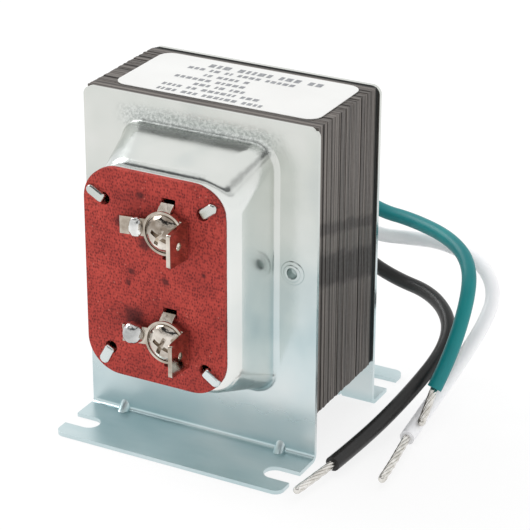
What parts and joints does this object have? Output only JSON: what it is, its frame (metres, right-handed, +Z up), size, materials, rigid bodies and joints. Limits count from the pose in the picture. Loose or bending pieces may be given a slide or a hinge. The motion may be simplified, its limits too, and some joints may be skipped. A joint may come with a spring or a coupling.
{
  "type": "doorbell transformer",
  "caption": "Bell-wire transformer: laminated core between two pressed steel covers with slotted feet, a red fibre board with low-voltage screw terminals and free mains leads.",
  "frame": {"origin": "centre of the rectangle of foot slots, on the mounting plane under the feet", "axes": "+Z up from the feet to the label, -Y to the front with the terminal board, +X to the right seen from the front"},
  "size_m": [0.0666, 0.0749, 0.0666],
  "materials": {
    "zinc_plated_steel": "satin",
    "lamination_steel": "matte",
    "black_fibre": "matte",
    "red_fibre": "matte",
    "nylon": "matte",
    "copper_wire": "satin",
    "coil_tape": "satin",
    "nickel_plated_brass": "satin",
    "nickel_plated_steel": "satin",
    "solder": "gloss",
    "tinned_copper": "satin",
    "black_nylon": "satin",
    "label_film": "satin",
    "green_insulation": "satin",
    "white_insulation": "satin",
    "black_insulation": "satin"
  },
  "bodies": {
    "root": {"front_bell": "zinc_plated_steel", "rear_bell": "zinc_plated_steel", "left_eyelet": "zinc_plated_steel", "right_eyelet": "zinc_plated_steel", "e_laminations_left": "lamination_steel", "e_laminations_right": "lamination_steel", "i_laminations_left": "lamination_steel", "i_laminations_right": "lamination_steel", "rear_insulating_sheet": "black_fibre", "bobbin": "nylon", "primary_winding": "copper_wire", "secondary_winding": "copper_wire", "coil_wrap": "coil_tape", "terminal_board": "red_fibre", "upper_terminal": "nickel_plated_brass", "lower_terminal": "nickel_plated_brass", "upper_terminal_screw": "nickel_plated_steel", "lower_terminal_screw": "nickel_plated_steel", "upper_solder_joint": "solder", "lower_solder_joint": "solder", "upper_secondary_lead": "tinned_copper", "lower_secondary_lead": "tinned_copper", "rating_label": "label_film", "lead_bushing": "black_nylon", "green_lead": "green_insulation", "white_lead": "white_insulation", "black_lead": "black_insulation", "green_conductor": "tinned_copper", "white_conductor": "tinned_copper", "black_conductor": "tinned_copper"}
  },
  "joints": []
}
